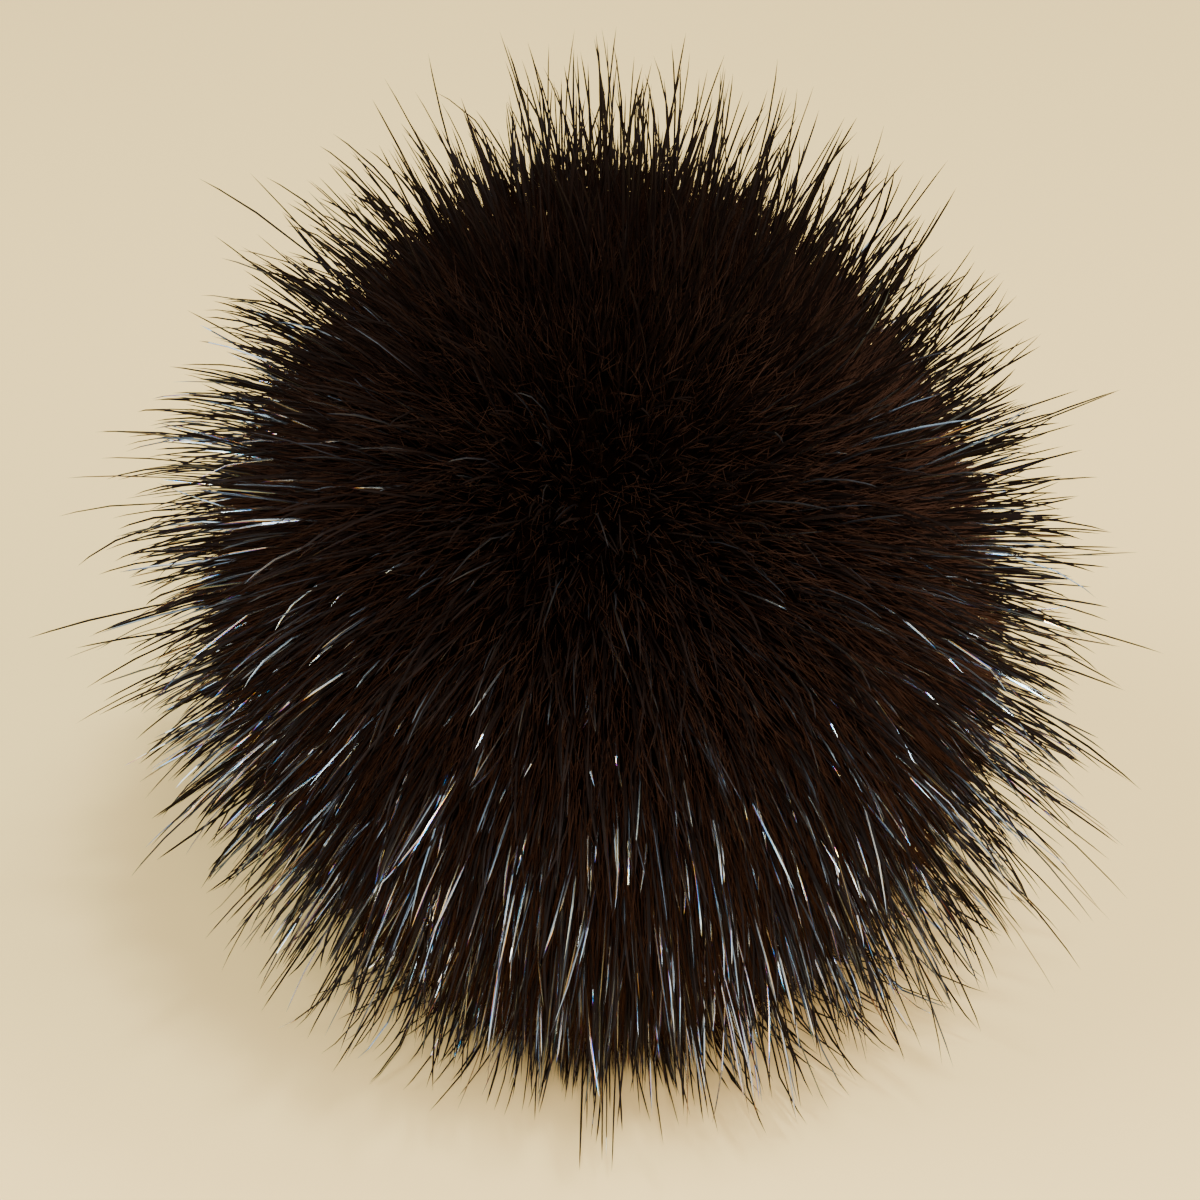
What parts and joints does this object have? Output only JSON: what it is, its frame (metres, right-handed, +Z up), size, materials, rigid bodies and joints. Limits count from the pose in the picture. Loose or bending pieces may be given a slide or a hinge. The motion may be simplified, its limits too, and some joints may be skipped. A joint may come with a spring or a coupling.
{
  "type": "fur pom pom",
  "caption": "Round fur pom pom of dense dark-brown underfur with long, drooping, glossy guard hair, resting on a small flat spot.",
  "frame": {"origin": "on the surface that the ball rests on, under the middle of its width and depth", "axes": "+Z up out of the resting surface, -Y towards the side that the picture shows, +X to the right seen from there"},
  "size_m": [0.0518, 0.0522, 0.0462],
  "materials": {
    "underfur": "dense, matt, dark-brown wool-like underfur",
    "guard_hair": "long, smooth, glossy, nearly black guard hair with cool, faintly coloured highlights"
  },
  "bodies": {
    "root": {"fur_ball": "underfur"}
  },
  "joints": []
}
